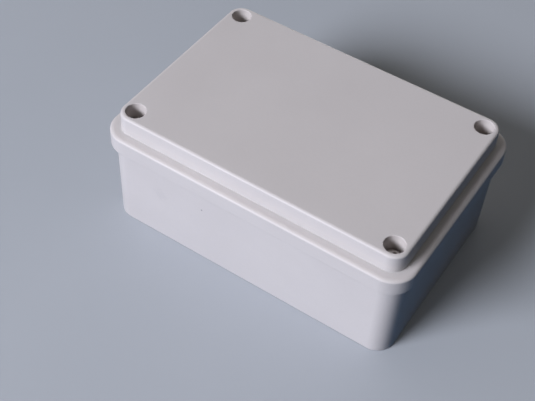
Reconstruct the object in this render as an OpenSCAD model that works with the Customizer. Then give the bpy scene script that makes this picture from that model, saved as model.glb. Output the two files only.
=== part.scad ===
// Composite junction box: a moulded base, a skirted lid with a raised plateau,
// a gasket between them, and four captive lid screws in corner wells.
// Millimetres. Origin at the centre of the underside, X along the length, Z up.

/* [Box] */
// Distance between the lid screw axes along the length
axis_x = 105.6; // [95:0.1:140]
// Distance between the lid screw axes across the width
axis_y = 66.8; // [60:0.1:100]
// Height from the underside to the top of the lid
box_h = 50.8; // [48:0.1:56]

/* [Base] */
// Outer corner radius of the base at its underside
base_r = 7.2; // [7:0.05:7.3]
// Draft of the base walls, in degrees
base_draft = 0.5; // [0.2:0.05:0.55]
// Thickness of the base walls
wall_t = 2.4; // [2.2:0.05:2.5]
// Thickness of the floor
floor_t = 2.5; // [2:0.1:3.5]
// Rounding of the edge between underside and walls
foot_round = 0.4; // [0.3:0.1:1.6]
// Rounding inside, between floor and walls
floor_round = 1.5; // [0.5:0.1:2]
// Radius of the corner columns that take the lid screws
column_r = 5.3; // [5.2:0.05:6]

/* [Lid] */
// Distance from the screw axes to the outside of the skirt
skirt_r = 9.7; // [9.4:0.05:10.5]
// Height of the skirt, from its lower edge to the shoulder
skirt_h = 7; // [6:0.1:8]
// Thickness of the skirt
skirt_t = 1.85; // [1.5:0.05:1.85]
// Height of the plateau above the shoulder
plateau_h = 7.5; // [6:0.1:8]
// Distance from the screw axes to the outside of the plateau, at its top
plateau_r = 5.5; // [5.4:0.05:5.8]
// Draft of the plateau walls, in degrees
plateau_draft = 1; // [0.2:0.1:2]
// Thickness of the lid's plate and shoulder
lid_t = 2.2; // [2:0.05:2.3]
// Rounding of the plateau's top edge
plateau_round = 1.2; // [0.6:0.1:1.4]
// Rounding of the shoulder's outer edge
shoulder_round = 1; // [0.6:0.1:1.6]
// Rounding between the shoulder and the foot of the plateau
foot_fillet = 0.1; // [0.1:0.1:0.8]

/* [Screws] */
// Diameter of the screw wells in the lid
well_d = 7.5; // [7.4:0.1:8]
// Rounding of the mouths of the screw wells
well_round = 0.25; // [0.15:0.05:0.5]
// Depth of the screw heads below the top of the lid
head_depth = 6; // [5.5:0.1:6.5]
// Diameter of the screw heads
head_d = 6.8; // [6.4:0.1:7]
// Height of the screw heads
head_h = 2.6; // [2.4:0.1:2.8]
// Length of the screws under the head
screw_len = 10; // [9:0.5:11]
// Diameter over the screw thread
thread_d = 3.9; // [3.8:0.02:3.94]
// Length of the threaded inserts
insert_len = 8; // [6:0.5:9]
// Outer diameter of the threaded inserts
insert_d = 5.7; // [5.4:0.1:6]

/* [Fixings] */
// Distance between the wall-fixing holes along the length
fix_x = 96; // [88:0.5:98]
// Distance between the wall-fixing holes across the width
fix_y = 38; // [30:0.5:42]
// Diameter of the wall-fixing holes
fix_d = 4.5; // [3.5:0.1:5]
// Distance between the plate bosses along the length
boss_x = 76; // [70:0.5:80]
// Distance between the plate bosses across the width
boss_y = 52; // [46:0.5:54]
// Diameter of the pilot holes in the plate bosses
pilot_d = 2.8; // [2.4:0.1:3.2]

/* [Hidden] */
$fn = 96;
ax = axis_x / 2;
ay = axis_y / 2;
// heights
shoulder_z = box_h - plateau_h;
skirt_z = shoulder_z - skirt_h;
channel_z = shoulder_z - lid_t;
plate_z = box_h - lid_t;
head_z = box_h - head_depth - head_h;
oring_d = 1;
web_z = head_z - oring_d;
lip_z = web_z - 2.9;
column_z = lip_z - 0.2;
gasket_t = 1.5;
gasket_z = channel_z - gasket_t;
rim_z = gasket_z - 0.05;
// distances outward from the screw axes
tb = tan(base_draft);
tp = tan(plateau_draft);
inner_r = base_r - wall_t;
rim_in = inner_r + rim_z * tb;
lip_out = rim_in - 0.29;
lip_in = lip_out - 1.45;
skirt_in = skirt_r - skirt_t;
plateau_foot = plateau_r + plateau_h * tp;
tube_r = plateau_r - 0.3;
// the corners, in the order of the node names
FL = [-1, -1];
FR = [1, -1];
BL = [-1, 1];
BR = [1, 1];
CORNERS = [FL, FR, BR, BL];

base_colour = "#dedbdc";
lid_colour = "#dad7d8";
gasket_colour = "#3a3b3d";
oring_colour = "#26272a";
steel_colour = "#b8bbc0";
brass_colour = "#c7a14e";

// Points along an arc of a section, from angle a to angle b
function arc(x, y, r, a, b, n) =
    [for (i = [0:n]) [x + r * cos(a + (b - a) * i / n), y + r * sin(a + (b - a) * i / n)]];

// Rounding of an outer edge of a section: a quarter disc that points outward,
// upward (up = 1) or downward (up = -1)
module quarter_disc(r, up) {
    intersection() {
        circle(r);
        translate([0, up > 0 ? 0 : -r]) square(r);
    }
}

// A wall section (x outward from the screw axes, y up) carried round the box:
// a quarter turn about each screw axis, and a straight run along each side.
module carried_round() {
    for (k = [0:3]) {
        c = [BR, BL, FL, FR][k];
        translate([c[0] * ax, c[1] * ay, 0]) rotate([0, 0, 90 * k])
            rotate_extrude(angle = 90) children();
    }
    for (s = [0, 180]) {
        rotate([0, 0, s]) translate([ax, ay, 0]) rotate([90, 0, 0])
            linear_extrude(axis_y) children();
        rotate([0, 0, s + 90]) translate([ay, ax, 0]) rotate([90, 0, 0])
            linear_extrude(axis_x) children();
    }
}

// Section of the base's wall and the edge of its floor
module base_section() {
    d = base_draft;
    fx = base_r + foot_round * tb - foot_round / cos(d);
    gz = floor_t + floor_round;
    gx = inner_r + gz * tb - floor_round / cos(d);
    e = 0.3;
    polygon([[0, 0], [fx, 0],
        [fx + foot_round * cos(d), foot_round * (1 - sin(d))],
        [base_r + (rim_z - e) * tb, rim_z - e],
        [base_r + rim_z * tb - e, rim_z],
        [rim_in + e, rim_z], [rim_in - e * tb, rim_z - e],
        each arc(gx, gz, floor_round, -d, -90, 8), [0, floor_t]]);
    translate([fx, foot_round]) quarter_disc(foot_round, -1);
}

// Corner column: round towards the inside of the box, square against the walls
module column(c) {
    cylinder(r = column_r, h = column_z);
    w = inner_r + 0.8;
    translate([c[0] > 0 ? 0 : -w, c[1] > 0 ? -column_r : 0, 0])
        cube([w, column_r, column_z]);
    translate([c[0] > 0 ? -column_r : 0, c[1] > 0 ? 0 : -w, 0])
        cube([column_r, w, column_z]);
}

module base() {
    color(base_colour) difference() {
        union() {
            carried_round() base_section();
            translate([-ax, -ay, 0]) cube([axis_x, axis_y, floor_t]);
            for (c = CORNERS) translate([c[0] * ax, c[1] * ay, 0])
                intersection() {
                    column(c);
                    translate([-20, -20, 0.5]) cube([40, 40, 60]);
                }
            // raised collars round the wall-fixing holes
            for (c = CORNERS) translate([c[0] * fix_x / 2, c[1] * fix_y / 2, 0.5])
                cylinder(d = fix_d + 5, h = floor_t + 0.7);
            // bosses for a mounting plate
            for (c = CORNERS) translate([c[0] * boss_x / 2, c[1] * boss_y / 2, 0.5])
                cylinder(d = pilot_d + 4, h = floor_t + 3);
        }
        // pockets for the threaded inserts, with room for the screw tip below
        for (c = CORNERS) translate([c[0] * ax, c[1] * ay, 0]) {
            translate([0, 0, column_z - insert_len]) cylinder(d = insert_d, h = insert_len + 1);
            translate([0, 0, column_z - insert_len - 3]) cylinder(d = thread_d + 0.5, h = insert_len);
        }
        for (c = CORNERS) translate([c[0] * fix_x / 2, c[1] * fix_y / 2, -1])
            cylinder(d = fix_d, h = floor_t + 4);
        for (c = CORNERS) translate([c[0] * boss_x / 2, c[1] * boss_y / 2, 1.2])
            cylinder(d = pilot_d, h = floor_t + 4);
    }
}

// Section of the lid: skirt, shoulder with the gasket's channel, plateau wall,
// the lip that enters the base, and the edge of the plate
module lid_section() {
    p = plateau_draft;
    rp = plateau_round;
    // centre of the rounding, tangent to the top and to the drafted wall
    px = plateau_r + rp * tp - rp / cos(p);
    rs = shoulder_round;
    // centre of the rounding at the plateau's foot
    rf = foot_fillet;
    qx = plateau_foot - rf * tp + rf / cos(p);
    ri = 1;
    e = 0.4;
    polygon([[0, box_h], [px, box_h],
        [px + rp * cos(p), box_h - rp + rp * sin(p)],
        each arc(qx, shoulder_z + rf, rf, 180 + p, 270, 6),
        [skirt_r - rs, shoulder_z], [skirt_r, shoulder_z - rs],
        [skirt_r, skirt_z + e], [skirt_r - e, skirt_z],
        [skirt_in, skirt_z], [skirt_in, channel_z],
        [lip_out, channel_z], [lip_out, lip_z], [lip_in, lip_z],
        each arc(lip_in - ri, plate_z - ri, ri, 0, 90, 8), [0, plate_z]]);
    translate([px, box_h - rp]) quarter_disc(rp, 1);
    translate([skirt_r - rs, shoulder_z - rs]) quarter_disc(rs, 1);
    translate([skirt_r - e, skirt_z + e]) quarter_disc(e, -1);
}

module lid() {
    color(lid_colour) difference() {
        union() {
            carried_round() lid_section();
            translate([-ax, -ay, plate_z]) cube([axis_x, axis_y, lid_t]);
            for (c = CORNERS) translate([c[0] * ax, c[1] * ay, 0]) {
                translate([0, 0, channel_z + 0.3]) cylinder(r = tube_r, h = plate_z + 0.5 - channel_z);
                translate([0, 0, lip_z]) cylinder(r = lip_out - 0.05, h = channel_z + 1 - lip_z);
            }
        }
        for (c = CORNERS) translate([c[0] * ax, c[1] * ay, 0]) {
            translate([0, 0, web_z]) cylinder(d = well_d, h = 20);
            // rounded mouth of the well
            rotate_extrude() difference() {
                translate([well_d / 2 - 0.2, box_h - well_round]) square([well_round + 0.2, well_round + 0.5]);
                translate([well_d / 2 + well_round, box_h - well_round]) circle(well_round);
            }
            translate([0, 0, lip_z - 1]) cylinder(d = thread_d + 0.6, h = 10);
        }
    }
}

// Foam ring that fills the lid's channel and is pressed on the base's rim
module gasket() {
    color(gasket_colour) carried_round()
        translate([lip_out + 0.15, gasket_z])
            square([skirt_in - lip_out - 0.3, gasket_t]);
}

// Cross-recessed cheese-head screw
module lid_screw(c) {
    color(steel_colour) translate([c[0] * ax, c[1] * ay, 0]) difference() {
        union() {
            translate([0, 0, head_z]) rotate_extrude()
                polygon([[0, 0], [head_d / 2, 0], [head_d / 2, head_h - 0.5],
                    [head_d / 2 - 0.35, head_h - 0.12], [head_d / 2 - 0.9, head_h],
                    [0, head_h]]);
            translate([0, 0, head_z - screw_len]) rotate_extrude()
                polygon([[0, 0], [thread_d / 2 - 0.6, 0], [thread_d / 2, 0.6],
                    [thread_d / 2, screw_len + 0.5], [0, screw_len + 0.5]]);
        }
        for (t = [0, 90]) translate([0, 0, head_z + head_h - 1.7]) rotate([0, 0, t])
            translate([-2.1, -0.5, 0]) cube([4.2, 1, 3]);
        translate([0, 0, head_z + head_h - 2]) cylinder(r1 = 0.5, r2 = 1.5, h = 2.4);
    }
}

// O-ring under a screw head
module screw_seal(c) {
    color(oring_colour) translate([c[0] * ax, c[1] * ay, web_z + oring_d / 2])
        rotate_extrude() translate([thread_d / 2 + 0.05 + oring_d / 2, 0]) circle(d = oring_d);
}

// Brass insert with a grooved outside, flush with the top of its column
module threaded_insert(c) {
    ro = insert_d / 2;
    translate([c[0] * ax, c[1] * ay, column_z - insert_len])
        color(brass_colour) rotate_extrude()
            polygon([[thread_d / 2 + 0.08, 0], [ro - 0.5, 0], [ro - 0.02, 0.6],
                [ro - 0.02, insert_len / 2 - 0.8], [ro - 0.45, insert_len / 2 - 0.6],
                [ro - 0.45, insert_len / 2 + 0.6], [ro - 0.02, insert_len / 2 + 0.8],
                [ro - 0.02, insert_len], [thread_d / 2 + 0.3, insert_len],
                [thread_d / 2 + 0.08, insert_len - 0.25]]);
}

module lid_screw_front_left() { lid_screw(FL); }
module lid_screw_front_right() { lid_screw(FR); }
module lid_screw_back_left() { lid_screw(BL); }
module lid_screw_back_right() { lid_screw(BR); }
module screw_seal_front_left() { screw_seal(FL); }
module screw_seal_front_right() { screw_seal(FR); }
module screw_seal_back_left() { screw_seal(BL); }
module screw_seal_back_right() { screw_seal(BR); }
module threaded_insert_front_left() { threaded_insert(FL); }
module threaded_insert_front_right() { threaded_insert(FR); }
module threaded_insert_back_left() { threaded_insert(BL); }
module threaded_insert_back_right() { threaded_insert(BR); }

base();
lid();
gasket();
lid_screw_front_left();
lid_screw_front_right();
lid_screw_back_left();
lid_screw_back_right();
screw_seal_front_left();
screw_seal_front_right();
screw_seal_back_left();
screw_seal_back_right();
threaded_insert_front_left();
threaded_insert_front_right();
threaded_insert_back_left();
threaded_insert_back_right();
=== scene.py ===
import math

import bmesh
import bpy
import numpy as np
from mathutils import Matrix, Vector, noise
from mathutils.geometry import delaunay_2d_cdt


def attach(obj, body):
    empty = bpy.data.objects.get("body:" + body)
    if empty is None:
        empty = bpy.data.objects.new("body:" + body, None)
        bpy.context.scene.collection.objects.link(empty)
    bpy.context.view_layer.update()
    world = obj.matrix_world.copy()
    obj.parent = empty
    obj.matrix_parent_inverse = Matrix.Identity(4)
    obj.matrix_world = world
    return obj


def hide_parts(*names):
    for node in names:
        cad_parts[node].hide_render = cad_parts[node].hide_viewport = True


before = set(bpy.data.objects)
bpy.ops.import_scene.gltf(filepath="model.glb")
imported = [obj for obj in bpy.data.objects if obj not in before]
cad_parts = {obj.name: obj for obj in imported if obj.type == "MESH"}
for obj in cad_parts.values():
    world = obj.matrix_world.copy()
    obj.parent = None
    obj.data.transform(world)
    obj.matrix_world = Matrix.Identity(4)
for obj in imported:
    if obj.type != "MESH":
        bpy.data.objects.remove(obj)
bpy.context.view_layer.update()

MM = 0.001

# ------------------------------------------------------------------ sizes, mm
AX, AY = 52.8, 33.4              # screw axes
BOX_H, SHOULDER_Z, SKIRT_Z = 50.8, 43.3, 36.3
CHANNEL_Z, PLATE_Z = 41.1, 48.6
LIP_Z, WEB_Z, HEAD_Z = 38.3, 41.2, 42.2
COLUMN_Z, RIM_Z, FLOOR_Z = 38.1, 39.55, 2.5
TB = math.tan(math.radians(0.5))
TP = math.tan(math.radians(1.0))
BASE_R, INNER_R = 7.2, 4.8
RIM_IN = INNER_R + RIM_Z * TB
LIP_OUT = RIM_IN - 0.29
LIP_IN = LIP_OUT - 1.45
SKIRT_R, SKIRT_IN = 9.7, 7.85
PLATEAU_FOOT = 5.5 + 7.5 * TP
COLUMN_R, COLUMN_FILLET = 5.3, 0.8
COLUMN_END = COLUMN_R + COLUMN_FILLET

CORNERS = [(1, 1), (-1, 1), (-1, -1), (1, -1)]
NAMES = ["back_right", "back_left", "front_left", "front_right"]
QUARTER = [(1, 0), (0, 1), (-1, 0), (0, -1)]
NC = 28                          # steps round a corner


def side_steps(length):
    """Distances along a straight side, from one screw axis to the next."""
    near = [1.6, 3.2, 4.7, COLUMN_END]
    n = round((length - 2 * COLUMN_END) / 2.6)
    mid = [COLUMN_END + (length - 2 * COLUMN_END) * i / n for i in range(1, n)]
    return near + mid + [length - t for t in reversed(near)]


SIDES = [side_steps(2 * AX), side_steps(2 * AY)]


def oval(x, y, rx, ry, a, b, n):
    """Points of a flattened arc, from angle a to angle b in degrees."""
    return [(x + rx * math.cos(math.radians(a + (b - a) * i / n)),
             y + ry * math.sin(math.radians(a + (b - a) * i / n))) for i in range(n + 1)]


def arc(x, y, r, a, b, n):
    """Points of an arc, from angle a to angle b in degrees."""
    return oval(x, y, r, r, a, b, n)


def run(pts, x, y, n=1):
    """Straight run from the last point of a section."""
    x0, y0 = pts[-1]
    pts.extend((x0 + (x - x0) * i / n, y0 + (y - y0) * i / n) for i in range(1, n + 1))


def bend(pts, *a):
    """Arc that goes on from the last point of a section."""
    pts.extend(arc(*a)[1:])


def around(o, z):
    """Loop at distance o outside the screw axes, counter-clockwise from above."""
    pts = []
    for k, (sx, sy) in enumerate(CORNERS):
        cx, cy = sx * AX, sy * AY
        for i in range(NC + 1):
            t = math.radians(90 * k + 90 * i / NC)
            pts.append((cx + o * math.cos(t), cy + o * math.sin(t), z))
        nx, ny = QUARTER[(k + 1) % 4]
        dx, dy = QUARTER[(k + 2) % 4]
        pts.extend((cx + dx * s + nx * o, cy + dy * s + ny * o, z) for s in SIDES[k % 2])
    return pts


def circle(cx, cy, r, z, n):
    return [(cx + r * math.cos(2 * math.pi * i / n), cy + r * math.sin(2 * math.pi * i / n), z) for i in range(n)]


def smooth01(t):
    t = min(max(t, 0.0), 1.0)
    return t * t * (3 - 2 * t)


class Build:
    """Vertices and faces of one closed piece, in millimetres."""

    def __init__(self):
        self.v, self.f = [], []

    def ring(self, pts):
        i = len(self.v)
        self.v.extend(pts)
        return list(range(i, len(self.v)))

    def bridge(self, a, b):
        n = len(a)
        for i in range(n):
            j = (i + 1) % n
            self.f.append((a[i], a[j], b[j], b[i]))

    def skin(self, rings):
        for a, b in zip(rings, rings[1:]):
            self.bridge(a, b)

    def fan(self, ring, point):
        c = self.ring([point])[0]
        n = len(ring)
        self.f.extend((ring[i], ring[(i + 1) % n], c) for i in range(n))

    def turned(self, section, cx, cy, n):
        """Rings of a section (r, z) turned about a vertical axis."""
        rings = [self.ring(circle(cx, cy, r, z, n)) for r, z in section]
        self.skin(rings)
        return rings

    def cap(self, loops, step=0.0, margin=1.0):
        """Fills the flat region inside the first loop and outside the others."""
        ids = [i for loop in loops for i in loop]
        pts = [self.v[i] for i in ids]
        z = pts[0][2]
        edges, n = [], 0
        for loop in loops:
            m = len(loop)
            edges.extend((n + i, n + (i + 1) % m) for i in range(m))
            n += m
        p = np.array([q[:2] for q in pts])
        a, b = p[[e[0] for e in edges]], p[[e[1] for e in edges]]
        if step:
            lo, hi = p.min(0), p.max(0)
            cols = int(math.ceil((hi[0] - lo[0]) / step))
            rows = int(math.ceil((hi[1] - lo[1]) / (step * 0.866)))
            grid = np.array([(lo[0] + step * (c + 0.5 * (r % 2) + 0.21), lo[1] + step * (0.866 * r + 0.37))
                             for r in range(rows) for c in range(cols)])
            grid = grid[self.inside(grid, a, b) & (self.away(grid, a, b) > margin)]
            new = self.ring([(float(x), float(y), z) for x, y in grid])
            ids += new
            pts += [self.v[i] for i in new]
        flat = delaunay_2d_cdt([Vector(q[:2]) for q in pts], edges, [], 0, 1e-6, True)
        co = np.array([c[:] for c in flat[0]])
        tris = np.array([t for t in flat[2] if len(t) == 3])
        keep = self.inside(co[tris].mean(1), a, b)
        where = [o[0] for o in flat[3]]
        self.f.extend(tuple(ids[where[i]] for i in t) for t in tris[keep])

    @staticmethod
    def inside(q, a, b):
        """Even-odd test of points q against the edges a-b."""
        odd = np.zeros(len(q), bool)
        for (ax, ay), (bx, by) in zip(a, b):
            if ay == by:
                continue
            hit = (ay > q[:, 1]) != (by > q[:, 1])
            odd ^= hit & (q[:, 0] < (bx - ax) * (q[:, 1] - ay) / (by - ay) + ax)
        return odd

    @staticmethod
    def away(q, a, b):
        """Distance of points q from the nearest edge."""
        best = np.full(len(q), 1e9)
        for s, e in zip(a, b):
            d = e - s
            t = np.clip(((q - s) @ d) / max(d @ d, 1e-12), 0, 1)
            best = np.minimum(best, np.linalg.norm(q - (s + t[:, None] * d), axis=1))
        return best


def place(b, name, body, node, material, angle=35.0, weighted=False):
    """Makes a piece of a build: smooth between its edges, riding on its body in place of the CAD node."""
    me = bpy.data.meshes.new(name)
    me.from_pydata([(x * MM, y * MM, z * MM) for x, y, z in b.v], [], b.f)
    bm = bmesh.new()
    bm.from_mesh(me)
    bmesh.ops.recalc_face_normals(bm, faces=bm.faces)
    bm.to_mesh(me)
    bm.free()
    me.shade_smooth()
    me.set_sharp_from_angle(angle=math.radians(angle))
    me.materials.append(material)
    ob = bpy.data.objects.new(name, me)
    bpy.context.scene.collection.objects.link(ob)
    if weighted:
        w = ob.modifiers.new("even_normals", "WEIGHTED_NORMAL")
        w.keep_sharp, w.weight, w.mode = True, 50, "FACE_AREA"
    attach(ob, body)
    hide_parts(node)
    return ob


# ------------------------------------------------------------------ lid
def joined(path, z, step):
    """Closed loop of one corner's path, repeated at all four corners with straight sides between."""
    corners = []
    for k, (sx, sy) in enumerate(CORNERS):
        c, s = QUARTER[k]
        corners.append([(sx * AX + c * u - s * v, sy * AY + s * u + c * v) for u, v in path])
    pts = []
    for k in range(4):
        pts += corners[k]
        p, q = corners[k][-1], corners[(k + 1) % 4][0]
        n = round((2 * AX if k % 2 == 0 else 2 * AY) / step) - 4
        pts += [(p[0] + (q[0] - p[0]) * i / n, p[1] + (q[1] - p[1]) * i / n) for i in range(1, n)]
    return [(x, y, z) for x, y in pts]


def lid_inside(s, r, f, z):
    """Inside outline of the lid: straight walls at s, a well tube of radius r in each corner,
    joined by fillets of radius f."""
    cu, cv = s - f, -math.sqrt((r + f) ** 2 - (s - f) ** 2)
    first = arc(cu, cv, f, 0, math.degrees(math.atan2(-cv, -cu)), 7)
    start = math.degrees(math.atan2(cv, cu))
    tube = arc(0, 0, r, start, -270 - start, 36)
    return joined(first + tube[1:-1] + [(v, u) for u, v in reversed(first)], z, 2.6)


def make_lid():
    b = Build()
    qx = PLATEAU_FOOT - 0.1 * TP + 0.1 / math.cos(math.radians(1))
    s = oval(5.5 + 0.9 * TP - 1.3, BOX_H - 0.9, 1.3, 0.9, 90, 1, 16)
    foot = arc(qx, SHOULDER_Z + 0.1, 0.1, 181, 270, 5)
    run(s, *foot[0], 4)
    s += foot[1:]
    run(s, SKIRT_R - 1.65, SHOULDER_Z, 3)
    s += oval(SKIRT_R - 1.65, SHOULDER_Z - 1.0, 1.65, 1.0, 90, 0, 18)[1:]
    run(s, SKIRT_R, SKIRT_Z + 0.4, 4)
    bend(s, SKIRT_R - 0.4, SKIRT_Z + 0.4, 0.4, 0, -90, 7)
    run(s, SKIRT_IN + 0.25, SKIRT_Z, 2)
    bend(s, SKIRT_IN + 0.25, SKIRT_Z + 0.25, 0.25, -90, -180, 5)
    run(s, SKIRT_IN, CHANNEL_Z - 0.3, 4)
    bend(s, SKIRT_IN - 0.3, CHANNEL_Z - 0.3, 0.3, 0, 90, 5)
    run(s, LIP_OUT + 0.3, CHANNEL_Z, 3)
    bend(s, LIP_OUT + 0.3, CHANNEL_Z - 0.3, 0.3, 90, 180, 5)
    run(s, LIP_OUT, LIP_Z + 0.25, 3)
    bend(s, LIP_OUT - 0.25, LIP_Z + 0.25, 0.25, 0, -90, 5)
    outer = [b.ring(around(o, z)) for o, z in s]
    b.skin(outer)

    # screw wells: rounded mouth, wall, web with the shank's hole
    mouths, bottoms = [], []
    for sx, sy in CORNERS:
        w = arc(4.0, BOX_H - 0.25, 0.25, 90, 180, 7)
        run(w, 3.75, WEB_Z + 0.3, 8)
        bend(w, 3.45, WEB_Z + 0.3, 0.3, 0, -90, 5)
        run(w, 2.4, WEB_Z, 2)
        run(w, 2.25, WEB_Z - 0.15)
        run(w, 2.25, LIP_Z + 0.15, 3)
        run(w, 2.4, LIP_Z)
        rings = b.turned(w, sx * AX, sy * AY, 4 * NC)
        mouths.append(rings[0])
        bottoms.append(rings[-1])
    b.cap([outer[0]] + mouths, 2.6, 1.2)

    # inside: rounded lip, well tubes with a step where they widen, and the underside of the plate
    tube, wide = LIP_OUT - 0.05, 5.2
    rows = [(0.25 * (1 - math.sin(math.radians(18 * i))), tube, LIP_Z + 0.25 * (1 - math.cos(math.radians(18 * i))))
            for i in range(6)]
    rows += [(0, tube, 39.6), (0, tube, 40.9), (0, tube, 41.22), (0, tube + 0.04, 41.34), (0, tube + 0.14, 41.41),
             (0, wide - 0.12, 41.43), (0, wide - 0.03, 41.5), (0, wide, 41.62), (0, wide, 43.6), (0, wide, 45.7)]
    rows += [(0.8 * (math.cos(math.radians(90 * i / 7)) - 1), wide, PLATE_Z - 0.8 + 0.8 * math.sin(math.radians(90 * i / 7)))
             for i in range(8)]
    inner = [b.ring(lid_inside(LIP_IN + d, r - d, 1.2 + d, z)) for d, r, z in rows]
    b.skin(inner)
    b.cap([outer[-1], inner[0]] + bottoms)
    marks = []
    for x, y in ((-34, -20), (0, -24), (34, -20), (-34, 20), (0, 24), (34, 20)):
        m = [(2.6, PLATE_Z), (2.52, PLATE_Z + 0.03), (2.48, PLATE_Z + 0.12), (2.4, PLATE_Z + 0.15)]
        rings = b.turned(m, x, y, 40)
        b.fan(rings[-1], (x, y, PLATE_Z + 0.15))
        marks.append(rings[0])
    b.cap([inner[-1]] + marks, 3.2, 1.4)

    # the plate sinks a little towards its middle, as a moulded plate does
    for i, (x, y, z) in enumerate(b.v):
        u, v = 1 - (x / AX) ** 2, 1 - (y / AY) ** 2
        if u > 0 and v > 0:
            b.v[i] = (x, y, z - 0.12 * u * v * smooth01((z - 43.5) / 4))
    return b


# ------------------------------------------------------------------ base
def column_path(z, inset=0.0):
    """One corner column seen from inside the base, from wall to wall, at height z."""
    w = INNER_R + z * TB
    f, r, nf, nl = COLUMN_FILLET, COLUMN_R, 7, 4
    half = [(u, v, smooth01(i / nf)) for i, (u, v) in enumerate(arc(w - f, -r - f, f, 0, 90, nf))]
    half += [((w - f) * (1 - i / nl), -r, 1.0) for i in range(1, nl)]
    out = [(u, v + inset * k) for u, v, k in half] + arc(0, 0, r - inset, -90, -135, 14)
    return out + [(v, u) for u, v in reversed(out[:-1])]


def make_base():
    b = Build()
    fx = BASE_R + 0.4 * TB - 0.4 / math.cos(math.radians(0.5))
    s = arc(fx, 0.4, 0.4, -90, -0.5, 9)
    run(s, BASE_R + (RIM_Z - 0.3) * TB, RIM_Z - 0.3, 12)
    bend(s, BASE_R + RIM_Z * TB - 0.3, RIM_Z - 0.3, 0.3, 0, 90, 6)
    run(s, RIM_IN + 0.3, RIM_Z, 2)
    bend(s, RIM_IN + 0.3, RIM_Z - 0.3, 0.3, 90, 180, 6)
    run(s, INNER_R + COLUMN_Z * TB, COLUMN_Z, 2)
    outer = [b.ring(around(o, z)) for o, z in s]
    b.skin(outer)
    edge = outer[-1]

    # where each corner begins in a loop made by around()
    starts, n = [], 0
    for k in range(4):
        starts.append(n)
        n += NC + 1 + len(SIDES[k % 2])
    total = n

    def corner_points(k):
        """Loop places from the wall before corner k's column to the wall after it."""
        return [(starts[k] + i) % total for i in range(-4, NC + 5)]

    def side_points(k):
        """Loop places on the wall between corner k's column and the next."""
        return [(starts[k] + NC + 5 + i) % total for i in range(len(SIDES[k % 2]) - 8)]

    def cavity(z, inset):
        """Loop of the inside of the base at height z."""
        plain = around(INNER_R + z * TB, z)
        pts = []
        for k, (sx, sy) in enumerate(CORNERS):
            c, s = QUARTER[k]
            pts += [(sx * AX + c * u - s * v, sy * AY + s * u + c * v, z) for u, v in column_path(z, inset)]
            pts += [plain[i] for i in side_points(k)]
        return pts

    # the top loop of the cavity shares its wall points with the rim's inner face
    per = len(column_path(10.0))
    top, columns, i = [], [], 0
    pts = cavity(COLUMN_Z, 0.3)
    for k in range(4):
        wall = [edge[j] for j in corner_points(k)]
        face = b.ring(pts[i + 1:i + per - 1])
        between = [edge[j] for j in side_points(k)]
        top += [wall[0]] + face + [wall[-1]] + between
        columns.append(wall + face[::-1])
        i += per + len(between)
    inner = [top]
    for t in range(1, 6):
        a = math.radians(18 * t)
        inner.append(b.ring(cavity(COLUMN_Z - 0.3 + 0.3 * math.cos(a), 0.3 * (1 - math.sin(a)))))
    low = FLOOR_Z + 1.5
    for t in range(1, 13):
        inner.append(b.ring(cavity(COLUMN_Z - 0.3 + (low + 0.7 - COLUMN_Z) * t / 12, 0.0)))

    # rounding into the floor: wide along the walls, narrow round the columns
    path = np.array([p[:2] for p in cavity(low, 0.0)])
    tangent = np.roll(path, -1, 0) - np.roll(path, 1, 0)
    tangent /= np.linalg.norm(tangent, axis=1)[:, None]
    inward = np.stack([-tangent[:, 1], tangent[:, 0]], 1)
    wide, i = np.full(len(path), 0.5), 0
    for k in range(4):
        i += per
        m = len(side_points(k))
        for j in range(m):
            wide[i + j] = 0.5 + smooth01(min(j + 1, m - j) * 2.6 / 10)
        i += m
    for t in range(9):
        a = math.radians(90 * t / 8)
        q = path + inward * (wide * (1 - math.cos(a)))[:, None]
        inner.append(b.ring([(float(x), float(y), float(FLOOR_Z + w * (1 - math.sin(a)))) for (x, y), w in zip(q, wide)]))
    b.skin(inner)

    # column tops, and the pockets of the inserts with room for the screw's tip below
    for k, (sx, sy) in enumerate(CORNERS):
        w = [(3.0, COLUMN_Z), (2.94, COLUMN_Z - 0.04), (2.86, COLUMN_Z - 0.15)]
        run(w, 2.85, 30.1, 6)
        run(w, 2.2, 30.1, 2)
        run(w, 2.2, 27.5, 3)
        bend(w, 1.8, 27.5, 0.4, 0, -90, 4)
        pocket = b.turned(w, sx * AX, sy * AY, 64)
        b.fan(pocket[-1], (sx * AX, sy * AY, 27.1))
        b.cap([columns[k], pocket[0]])

    under, feet = [], []
    # raised collars round the wall-fixing holes, right through the floor
    for sx, sy in CORNERS:
        w = arc(4.75 + 0.4, FLOOR_Z + 0.4, 0.4, 270, 180, 5)
        run(w, 4.75, 3.4)
        bend(w, 4.45, 3.4, 0.3, 0, 90, 6)
        run(w, 2.6, 3.7, 2)
        bend(w, 2.6, 3.35, 0.35, 90, 180, 5)
        run(w, 2.25, 0.3, 4)
        run(w, 2.33, 0.12)
        run(w, 2.55, 0.0)
        rings = b.turned(w, sx * 48.0, sy * 19.0, 64)
        feet.append(rings[0])
        under.append(rings[-1])
    # bosses for a mounting plate
    for sx, sy in CORNERS:
        w = arc(3.4 + 0.4, FLOOR_Z + 0.4, 0.4, 270, 180, 5)
        run(w, 3.4, 5.7, 3)
        bend(w, 3.1, 5.7, 0.3, 0, 90, 6)
        run(w, 1.65, 6.0, 2)
        run(w, 1.4, 5.75)
        run(w, 1.4, 1.5, 5)
        run(w, 0.3, 1.2)
        rings = b.turned(w, sx * 38.0, sy * 26.0, 56)
        b.fan(rings[-1], (sx * 38.0, sy * 26.0, 1.2))
        feet.append(rings[0])
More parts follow.
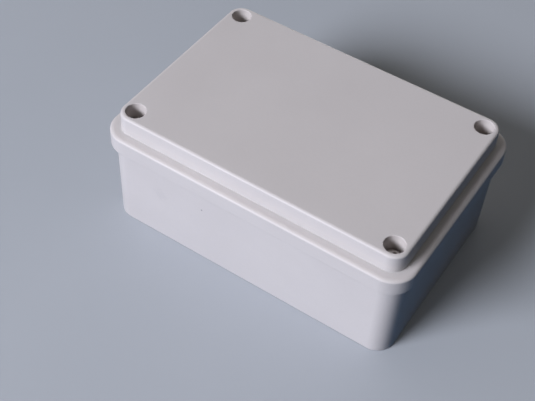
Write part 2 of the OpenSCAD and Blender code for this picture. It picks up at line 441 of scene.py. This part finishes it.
    # faint ejector marks in the floor
    for x, y in ((-20, -14), (20, -14), (-20, 14), (20, 14), (0, -28), (0, 28)):
        m = [(3.1, FLOOR_Z), (3.02, FLOOR_Z - 0.03), (2.98, FLOOR_Z - 0.12), (2.9, FLOOR_Z - 0.15)]
        rings = b.turned(m, x, y, 44)
        b.fan(rings[-1], (x, y, FLOOR_Z - 0.15))
        feet.append(rings[0])
    b.cap([inner[-1]] + feet, 3.2, 1.4)

    # moulding gate: a stub in a shallow dish, clear of the wall behind
    w = [(4.6, 0.0), (4.5, 0.03), (4.2, 0.3)]
    bend(w, 3.8, 0.1, 0.4, 30, 90, 3)
    run(w, 1.3, 0.5, 2)
    run(w, 1.0, 0.38)
    run(w, 0.85, 0.2)
    run(w, 0.5, 0.14)
    rings = b.turned(w, 0.0, 0.0, 48)
    b.fan(rings[-1], (0.0, 0.0, 0.17))
    under.append(rings[0])
    b.cap([outer[0]] + under, 3.2, 1.4)
    return b


# ------------------------------------------------------------------ gasket
def make_gasket():
    """Foam ring in the lid's channel; the base's rim has pressed a shallow track into it."""
    b = Build()
    s = [(5.03, 40.85), (5.01, 40.6), (5.005, 40.3), (5.005, 39.9), (5.01, 39.66), (5.04, 39.53), (5.1, 39.47),
         (5.19, 39.47), (5.28, 39.52), (5.38, 39.58), (5.55, 39.6), (6.0, 39.6), (6.35, 39.6), (6.7, 39.6),
         (7.15, 39.6), (7.32, 39.58), (7.42, 39.52), (7.51, 39.47), (7.6, 39.47), (7.66, 39.53), (7.69, 39.66),
         (7.7, 39.9), (7.7, 40.3), (7.69, 40.6), (7.66, 40.85), (7.55, 41.0), (7.38, 41.07), (7.1, 41.09),
         (6.35, 41.09), (5.6, 41.09), (5.33, 41.07), (5.14, 41.0)]
    rings = []
    for j, (o, z) in enumerate(s):
        pts = []
        for x, y, _ in around(o, z):
            k = noise.noise(Vector((x * 0.9, y * 0.9, z * 2.0 + j * 0.35)))
            pts.append((x, y, z + (0.025 * max(k, 0.0) if z < 39.7 else 0.0)))
        rings.append(b.ring(pts))
    b.skin(rings + rings[:1])
    return b


# ------------------------------------------------------------------ screws, seals, inserts
def cross(length, width, tip, corner):
    """Outline of a cross recess: half length and half width of an arm, rounding of its tip and of the inner corner."""
    arm = arc(length - tip, tip - width, tip, -90, 0, 4) + arc(length - tip, width - tip, tip, 0, 90, 4)
    mid = (length - tip + width + corner) / 2
    arm += [(mid, width)] + arc(width + corner, width + corner, corner, 270, 180, 5) + [(width, mid)]
    return [(c * x - s * y, s * x + c * y) for c, s in QUARTER for x, y in arm]


def make_screw(cx, cy):
    b = Build()
    n, pitch, crest, root = 72, 0.7, 1.95, 1.6
    rows = []
    z = 32.2
    while z < 40.6:
        pts = []
        for i in range(n):
            t = (z / pitch - i / n) % 1.0
            r = root + (crest - root) * min(max((0.5 - abs(t - 0.5) - 0.07) / 0.34, 0.0), 1.0)
            r += (crest - r) * smooth01((z - 39.7) / 0.8)
            r = min(r, 1.35 + (z - 32.2))
            a = 2 * math.pi * i / n
            pts.append((cx + r * math.cos(a), cy + r * math.sin(a), z))
        rows.append(b.ring(pts))
        z = round(z + 0.05, 3)
    b.skin(rows)
    tip = b.ring(circle(cx, cy, 1.1, 32.2, n))
    b.bridge(rows[0], tip)
    b.fan(tip, (cx, cy, 32.2))
    w = [(1.95, 41.3), (1.95, HEAD_Z - 0.25)]
    bend(w, 2.2, HEAD_Z - 0.25, 0.25, 180, 90, 5)
    run(w, 3.22, HEAD_Z, 3)
    bend(w, 3.22, HEAD_Z + 0.18, 0.18, -90, 0, 5)
    run(w, 3.4, HEAD_Z + 1.9, 4)
    w += [(2.45 + 0.95 * math.cos(math.radians(9 * i)), HEAD_Z + 1.9 + 0.7 * math.sin(math.radians(9 * i))) for i in range(1, 11)]
    head = b.turned(w, cx, cy, n)
    b.bridge(rows[-1], head[0])
    z = HEAD_Z + 2.6
    levels = [(z, 2.18, 0.58, 0.3, 0.2), (z - 0.03, 2.13, 0.53, 0.27, 0.22), (z - 0.1, 2.08, 0.5, 0.25, 0.24),
              (z - 0.5, 1.84, 0.47, 0.23, 0.24), (z - 0.9, 1.6, 0.44, 0.2, 0.23), (z - 1.3, 1.37, 0.41, 0.18, 0.22),
              (z - 1.7, 1.14, 0.38, 0.16, 0.2), (z - 1.8, 0.98, 0.34, 0.14, 0.18), (z - 1.95, 0.62, 0.24, 0.1, 0.12)]
    slots = [b.ring([(cx + x, cy + y, h) for x, y in cross(*c)]) for h, *c in levels]
    b.skin(slots)
    b.fan(slots[-1], (cx, cy, z - 2.05))
    b.cap([head[-1], slots[0]])
    return b


def make_seal(cx, cy):
    """O-ring, a little flattened between the screw's head and the web, with the mould's parting line."""
    b = Build()
    n, m = 96, 32
    rings = []
    for j in range(m):
        a = 2 * math.pi * j / m
        c, s = math.cos(a), math.sin(a)
        r = 2.5 + 0.485 * math.copysign(abs(c) ** 0.86, c) + (0.012 if j == 0 else 0.0)
        rings.append(b.ring(circle(cx, cy, r, 41.7 + 0.498 * math.copysign(abs(s) ** 0.82, s), n)))
    b.skin(rings + rings[:1])
    return b


def make_insert(cx, cy):
    """Brass insert: two bands of slanted knurling, a groove between them, and a threaded bore."""
    b = Build()
    n, teeth, pitch = 144, 24, 0.7
    rows = []

    def band(z0, z1, r0, lean, m):
        for j in range(m + 1):
            z = z0 + (z1 - z0) * j / m
            fade = min(smooth01(j / 2), smooth01((m - j) / 2))
            pts = []
            for i in range(n):
                t = (i * teeth / n + lean * (z - z0)) % 1.0
                cut = 0.24 * max(0.0, 1 - abs(t - 0.5) / 0.3)
                r = r0 - 0.1 * (1 - fade) - cut * fade
                a = 2 * math.pi * i / n
                pts.append((cx + r * math.cos(a), cy + r * math.sin(a), z))
            rows.append(b.ring(pts))

    for r, z in ((2.2, 30.1), (2.34, 30.12), (2.42, 30.25), (2.6, 30.6)):
        rows.append(b.ring(circle(cx, cy, r, z, n)))
    band(30.7, 33.5, 2.83, 0.55, 12)
    for r, z in ((2.44, 33.62), (2.4, 33.75), (2.4, 34.45), (2.44, 34.58)):
        rows.append(b.ring(circle(cx, cy, r, z, n)))
    band(34.7, 37.75, 2.83, -0.55, 13)
    for r, z in ((2.66, 37.86), (2.62, 38.0), (2.55, 38.08), (2.46, 38.1), (2.36, 38.1), (2.3, 38.07)):
        rows.append(b.ring(circle(cx, cy, r, z, n)))
    z = 37.9
    while z > 30.3:
        pts = []
        for i in range(n):
            t = (z / pitch - i / n) % 1.0
            r = 2.03 + 0.17 * min(max((0.5 - abs(t - 0.5) - 0.1) / 0.3, 0.0), 1.0)
            r = max(r, 2.03 + 0.2 * smooth01((z - 37.6) / 0.3), 2.03 + 0.17 * smooth01((30.5 - z) / 0.2))
            a = 2 * math.pi * i / n
            pts.append((cx + r * math.cos(a), cy + r * math.sin(a), z))
        rows.append(b.ring(pts))
        z = round(z - 0.07, 3)
    b.skin(rows + rows[:1])
    return b


# ------------------------------------------------------------------ materials
def material(name):
    m = bpy.data.materials.new(name)
    m.use_nodes = True
    t = m.node_tree
    t.nodes.clear()
    out = t.nodes.new("ShaderNodeOutputMaterial")
    s = t.nodes.new("ShaderNodeBsdfPrincipled")
    t.links.new(s.outputs["BSDF"], out.inputs["Surface"])
    return m, t, s, t.nodes.new("ShaderNodeTexCoord").outputs["Object"]


def grain(t, where, scale, detail=2.0, rough=0.5, stretch=None):
    """Noise of the given number of cells per metre."""
    if stretch:
        mapping = t.nodes.new("ShaderNodeMapping")
        mapping.inputs["Scale"].default_value = stretch
        t.links.new(where, mapping.inputs["Vector"])
        where = mapping.outputs["Vector"]
    n = t.nodes.new("ShaderNodeTexNoise")
    n.inputs["Scale"].default_value = scale
    n.inputs["Detail"].default_value = detail
    n.inputs["Roughness"].default_value = rough
    t.links.new(where, n.inputs["Vector"])
    return n.outputs[0]


def ramp(t, value, *stops):
    r = t.nodes.new("ShaderNodeValToRGB")
    e = r.color_ramp.elements
    while len(e) < len(stops):
        e.new(0.5)
    for k, (at, colour) in enumerate(stops):
        e[k].position = at
        e[k].color = (*colour, 1.0)
    t.links.new(value, r.inputs["Fac"])
    return r.outputs["Color"]


def spread(t, value, low, high, a=0.3, b=0.7):
    """Maps a noise from a..b to low..high."""
    m = t.nodes.new("ShaderNodeMapRange")
    for key, x in (("From Min", a), ("From Max", b), ("To Min", low), ("To Max", high)):
        m.inputs[key].default_value = x
    t.links.new(value, m.inputs["Value"])
    return m.outputs["Result"]


def mixed(t, factor, a, b):
    """Colour a turning to colour b with the factor; b may be a plain colour."""
    m = t.nodes.new("ShaderNodeMix")
    m.data_type = "RGBA"
    t.links.new(factor, m.inputs[0])
    t.links.new(a, m.inputs[6])
    if isinstance(b, tuple):
        m.inputs[7].default_value = (*b, 1.0)
    else:
        t.links.new(b, m.inputs[7])
    return m.outputs[2]


def maths(t, kind, a, b):
    m = t.nodes.new("ShaderNodeMath")
    m.operation = kind
    for k, x in enumerate((a, b)):
        if isinstance(x, float):
            m.inputs[k].default_value = x
        else:
            t.links.new(x, m.inputs[k])
    return m.outputs["Value"]


def spot(t, where, at, radius, strength, ragged):
    """Fades from strength at a point in millimetres to nothing at the radius, with a ragged edge."""
    d = t.nodes.new("ShaderNodeVectorMath")
    d.operation = "DISTANCE"
    t.links.new(where, d.inputs[0])
    d.inputs[1].default_value = [c * MM for c in at]
    far = maths(t, "ADD", d.outputs["Value"], spread(t, ragged, -0.35 * radius * MM, 0.35 * radius * MM))
    return spread(t, far, strength, 0.0, 0.35 * radius * MM, radius * MM)


def bumped(t, s, *layers):
    """Chain of small bumps: (height, strength, depth in millimetres)."""
    last = None
    for height, strength, depth in layers:
        n = t.nodes.new("ShaderNodeBump")
        n.inputs["Strength"].default_value = strength
        n.inputs["Distance"].default_value = depth * MM
        t.links.new(height, n.inputs["Height"])
        if last:
            t.links.new(last, n.inputs["Normal"])
        last = n.outputs["Normal"]
    t.links.new(last, s.inputs["Normal"])


def hypot(t, a, b):
    return maths(t, "SQRT", maths(t, "ADD", maths(t, "MULTIPLY", a, a), maths(t, "MULTIPLY", b, b)), 0.0)


def painted_well_and_crease_shade(t, where, ragged, colour, o, z):
    """Painted shade: a warm darker tint in the wells, and a bluish darker tint along the inner corner at distance o
    outside the screw axes, height z.
    """
    split = t.nodes.new("ShaderNodeSeparateXYZ")
    t.links.new(where, split.inputs[0])
    x, y = [maths(t, "SUBTRACT", maths(t, "ABSOLUTE", split.outputs[k], 0.0), c * MM) for k, c in ((0, AX), (1, AY))]
    out = hypot(t, maths(t, "MAXIMUM", x, 0.0), maths(t, "MAXIMUM", y, 0.0))
    far = hypot(t, maths(t, "SUBTRACT", out, o * MM), maths(t, "SUBTRACT", split.outputs[2], z * MM))
    far = maths(t, "ADD", far, spread(t, ragged, -0.2 * MM, 0.2 * MM))
    # painted shade: bluish darkening within 2.2 mm of the inner corner
    colour = mixed(t, spread(t, far, 0.11, 0.0, 0.0, 2.2 * MM), colour, (0.1, 0.21, 0.24))
    # painted shade: warm darkening on the walls of the screw wells
    return mixed(t, spread(t, hypot(t, x, y), 0.12, 0.0, 3.72 * MM, 3.95 * MM), colour, (0.26, 0.21, 0.175))


def plastic(name, marks=(), corner=None):
    """Pale satin moulding with faint flow mottling; marks are (place, radius, strength)."""
    m, t, s, where = material(name)
    flow = grain(t, where, 26, 3.0, 0.55, (1.0, 1.0, 1.6))
    colour = ramp(t, flow, (0.3, (0.577, 0.528, 0.513)), (0.7, (0.603, 0.553, 0.537)))
    speckle = grain(t, where, 950, 2.0)
    colour = mixed(t, spread(t, speckle, 0.0, 0.05, 0.35, 0.75), colour, (0.428, 0.403, 0.391))
    ragged = grain(t, where, 700, 2.0)
    for at, radius, strength in marks:
        colour = mixed(t, spot(t, where, at, radius, strength, ragged), colour, (0.1, 0.095, 0.095))
    # with a corner given, painted shade darkens the screw wells and the inner corner
    if corner:
        colour = painted_well_and_crease_shade(t, where, ragged, colour, *corner)
    t.links.new(colour, s.inputs["Base Color"])
    t.links.new(spread(t, grain(t, where, 60, 3.0), 0.42, 0.5), s.inputs["Roughness"])
    s.inputs["IOR"].default_value = 1.5
    s.inputs["Specular IOR Level"].default_value = 0.3
    bumped(t, s, (grain(t, where, 330, 2.0), 0.35, 0.012), (grain(t, where, 3200, 2.0), 0.3, 0.0016))
    return m


def foam():
    m, t, s, where = material("foam_rubber")
    cells = t.nodes.new("ShaderNodeTexVoronoi")
    cells.inputs["Scale"].default_value = 2600
    t.links.new(where, cells.inputs["Vector"])
    t.links.new(ramp(t, cells.outputs["Distance"], (0.05, (0.03, 0.03, 0.033)), (0.55, (0.085, 0.085, 0.09))), s.inputs["Base Color"])
    t.links.new(spread(t, grain(t, where, 700), 0.82, 0.95), s.inputs["Roughness"])
    bumped(t, s, (cells.outputs["Distance"], 0.7, 0.05), (grain(t, where, 260, 2.0), 0.4, 0.04))
    return m


def zinc():
    m, t, s, where = material("zinc_steel")
    t.links.new(ramp(t, grain(t, where, 700, 4.0), (0.3, (0.54, 0.505, 0.485)), (0.55, (0.64, 0.61, 0.59)), (0.75, (0.71, 0.685, 0.67))),
                s.inputs["Base Color"])
    t.links.new(spread(t, grain(t, where, 1500, 3.0), 0.42, 0.58), s.inputs["Roughness"])
    s.inputs["Metallic"].default_value = 1.0
    bumped(t, s, (grain(t, where, 2600, 2.0, 0.5, (1.0, 1.0, 4.0)), 0.3, 0.004))
    return m


def rubber():
    m, t, s, where = material("seal_rubber_black")
    t.links.new(ramp(t, grain(t, where, 900, 3.0), (0.3, (0.018, 0.018, 0.02)), (0.7, (0.042, 0.042, 0.045))), s.inputs["Base Color"])
    t.links.new(spread(t, grain(t, where, 600), 0.42, 0.58), s.inputs["Roughness"])
    bumped(t, s, (grain(t, where, 3500, 2.0), 0.3, 0.004))
    return m


def brass():
    m, t, s, where = material("turned_brass")
    t.links.new(ramp(t, grain(t, where, 500, 4.0), (0.3, (0.55, 0.4, 0.17)), (0.7, (0.74, 0.57, 0.28))), s.inputs["Base Color"])
    t.links.new(spread(t, grain(t, where, 1300, 3.0), 0.26, 0.44), s.inputs["Roughness"])
    s.inputs["Metallic"].default_value = 1.0
    bumped(t, s, (grain(t, where, 1600, 2.0, 0.5, (1.0, 1.0, 9.0)), 0.3, 0.004))
    return m


def pale_floor():
    m, t, s, where = material("pale_floor")
    clouds = grain(t, where, 3.0, 3.0)
    colour = ramp(t, clouds, (0.3, (0.406, 0.423, 0.454)), (0.7, (0.428, 0.443, 0.474)))
    t.links.new(spread(t, grain(t, where, 40, 3.0), 0.62, 0.72), s.inputs["Roughness"])
    # far from the box the cove shines evenly, so that no lamp makes a streak on it
    far = t.nodes.new("ShaderNodeVectorMath")
    far.operation = "LENGTH"
    t.links.new(where, far.inputs[0])
    away = spread(t, far.outputs["Value"], 0.0, 1.0, 0.3, 1.1)
    t.links.new(mixed(t, away, colour, (0.0, 0.0, 0.0)), s.inputs["Base Color"])
    t.links.new(spread(t, far.outputs["Value"], 0.3, 0.0, 0.2, 0.5), s.inputs["Specular IOR Level"])
    t.links.new(ramp(t, clouds, (0.3, (0.91, 0.95, 0.985)), (0.7, (0.95, 0.985, 1.0))), s.inputs["Emission Color"])
    t.links.new(spread(t, away, 0.0, 0.47, 0.0, 1.0), s.inputs["Emission Strength"])
    return m


def bounce():
    m, t, s, where = material("blue_card")
    t.links.new(ramp(t, grain(t, where, 3.0, 3.0), (0.3, (0.027, 0.086, 0.172)), (0.7, (0.029, 0.09, 0.18))), s.inputs["Base Color"])
    t.links.new(spread(t, grain(t, where, 40, 3.0), 0.62, 0.72), s.inputs["Roughness"])
    s.inputs["Specular IOR Level"].default_value = 0.3
    return m


# ------------------------------------------------------------------ pieces
body_plastic = plastic("moulded_plastic_base", (
    ((-18.69, -40.83, 26.69), 0.5, 0.75),
    ((-37.27, -40.80, 22.59), 3.6, 0.05),
    ((38.52, -40.91, 35.64), 0.45, 0.35),
))
# the lid gets painted shade in its screw wells and along the crease at the plateau's foot
lid_plastic = plastic("moulded_plastic_lid", corner=(PLATEAU_FOOT, SHOULDER_Z))
foam_rubber, steel, black_rubber, turned_brass = foam(), zinc(), rubber(), brass()

place(make_base(), "base_moulding", "base", "base", body_plastic, weighted=True)
place(make_lid(), "lid_moulding", "lid", "lid", lid_plastic, weighted=True)
place(make_gasket(), "gasket_ring", "lid", "gasket", foam_rubber, 50.0)
for (sx, sy), corner in zip(CORNERS, NAMES):
    x, y = sx * AX, sy * AY
    place(make_screw(x, y), "screw_" + corner + "_threaded", "screw_" + corner, "lid_screw_" + corner, steel, 32.0)
    place(make_seal(x, y), "seal_" + corner + "_ring", "seal_" + corner, "screw_seal_" + corner, black_rubber, 60.0)
    place(make_insert(x, y), "insert_" + corner + "_knurled", "base", "threaded_insert_" + corner, turned_brass, 32.0)

# ------------------------------------------------------------------ floor, light, camera
scene = bpy.context.scene


def staged(b, name, material):
    """Part of the studio, from a build in millimetres."""
    me = bpy.data.meshes.new(name)
    me.from_pydata([(x * MM, y * MM, z * MM) for x, y, z in b.v], [], b.f)
    me.shade_smooth()
    me.materials.append(material)
    ob = bpy.data.objects.new(name, me)
    scene.collection.objects.link(ob)
    return ob


# pale floor that turns up into a wall all round, far outside the picture
b = Build()
s = [(2400.0 * (1 - i / 9), 0.0) for i in range(9)]
rings = b.turned(s, 0.0, 0.0, 96)
b.fan(rings[-1], (0.0, 0.0, 0.0))
s = arc(2400.0, 1000.0, 1000.0, 0, -90, 18)
s = [(3400.0, 2600.0), (3400.0, 1800.0)] + s[:-1]
b.bridge(b.turned(s, 0.0, 0.0, 96)[-1], rings[0])
floor = staged(b, "floor", pale_floor())

# a blue card just under the pale floor, which only colours the light thrown back at the box
b = Build()
rings = b.turned([(1900.0 * (1 - i / 8), -0.6) for i in range(8)], 0.0, 0.0, 96)
b.fan(rings[-1], (0.0, 0.0, -0.6))
card = staged(b, "bounce_card", bounce())
card.visible_camera = False
floor.visible_diffuse = floor.visible_glossy = floor.visible_shadow = False

world = bpy.data.worlds.new("studio")
scene.world = world
world.use_nodes = True
t = world.node_tree
split = t.nodes.new("ShaderNodeSeparateXYZ")
t.links.new(t.nodes.new("ShaderNodeTexCoord").outputs["Generated"], split.inputs[0])
t.links.new(ramp(t, spread(t, split.outputs["Z"], 0.0, 1.0, -1.0, 1.0),
                 (0.5, (0.0182, 0.023, 0.0291)), (0.72, (0.0844, 0.0866, 0.0888)), (1.0, (0.2245, 0.2234, 0.2184))),
            t.nodes["Background"].inputs["Color"])

light = bpy.data.lights.new("key", "AREA")
light.shape, light.size, light.size_y, light.energy, light.color = "ELLIPSE", 1.25, 0.8, 74.0, (0.957, 1.0, 1.111)
key = bpy.data.objects.new("key", light)
to_key = Vector((-0.332, -0.7845, 0.524)).normalized()
key.location = to_key * 2.4
key.rotation_euler = to_key.to_track_quat("Z", "Y").to_euler()
scene.collection.objects.link(key)

# low strip behind the box, so that its back is not black
light = bpy.data.lights.new("strip", "AREA")
light.shape, light.size, light.size_y, light.energy, light.color = "RECTANGLE", 2.8, 0.4, 74.0, (1.0, 0.985, 0.97)
strip = bpy.data.objects.new("strip", light)
strip.location = (-1.7, 4.7, 0.26)
strip.rotation_euler = Vector((-1.7, 4.7, 0.23)).to_track_quat("Z", "Y").to_euler()
scene.collection.objects.link(strip)

cam = bpy.data.cameras.new("photo_view")
cam.sensor_fit, cam.sensor_width, cam.lens = "HORIZONTAL", 36.0, 1055.019 * 36 / 535
cam.clip_start, cam.clip_end = 0.01, 20.0
az, el, roll = math.radians(30.58), math.radians(48.30), math.radians(3.867)
back = Vector((math.sin(az) * math.cos(el), -math.cos(az) * math.cos(el), math.sin(el)))
right = (-back).cross(Vector((0, 0, 1))).normalized()
up = right.cross(-back)
right, up = right * math.cos(roll) + up * math.sin(roll), up * math.cos(roll) - right * math.sin(roll)
spot_at = (Vector((-2.76, -21.858, 25.23)) + back * 384.815 - up * 0.13) * MM
view = bpy.data.objects.new("photo_view", cam)
view.matrix_world = Matrix((
    (right.x, up.x, back.x, spot_at.x),
    (right.y, up.y, back.y, spot_at.y),
    (right.z, up.z, back.z, spot_at.z),
    (0.0, 0.0, 0.0, 1.0)))
scene.collection.objects.link(view)
scene.camera = view
scene.view_settings.view_transform = "Standard"
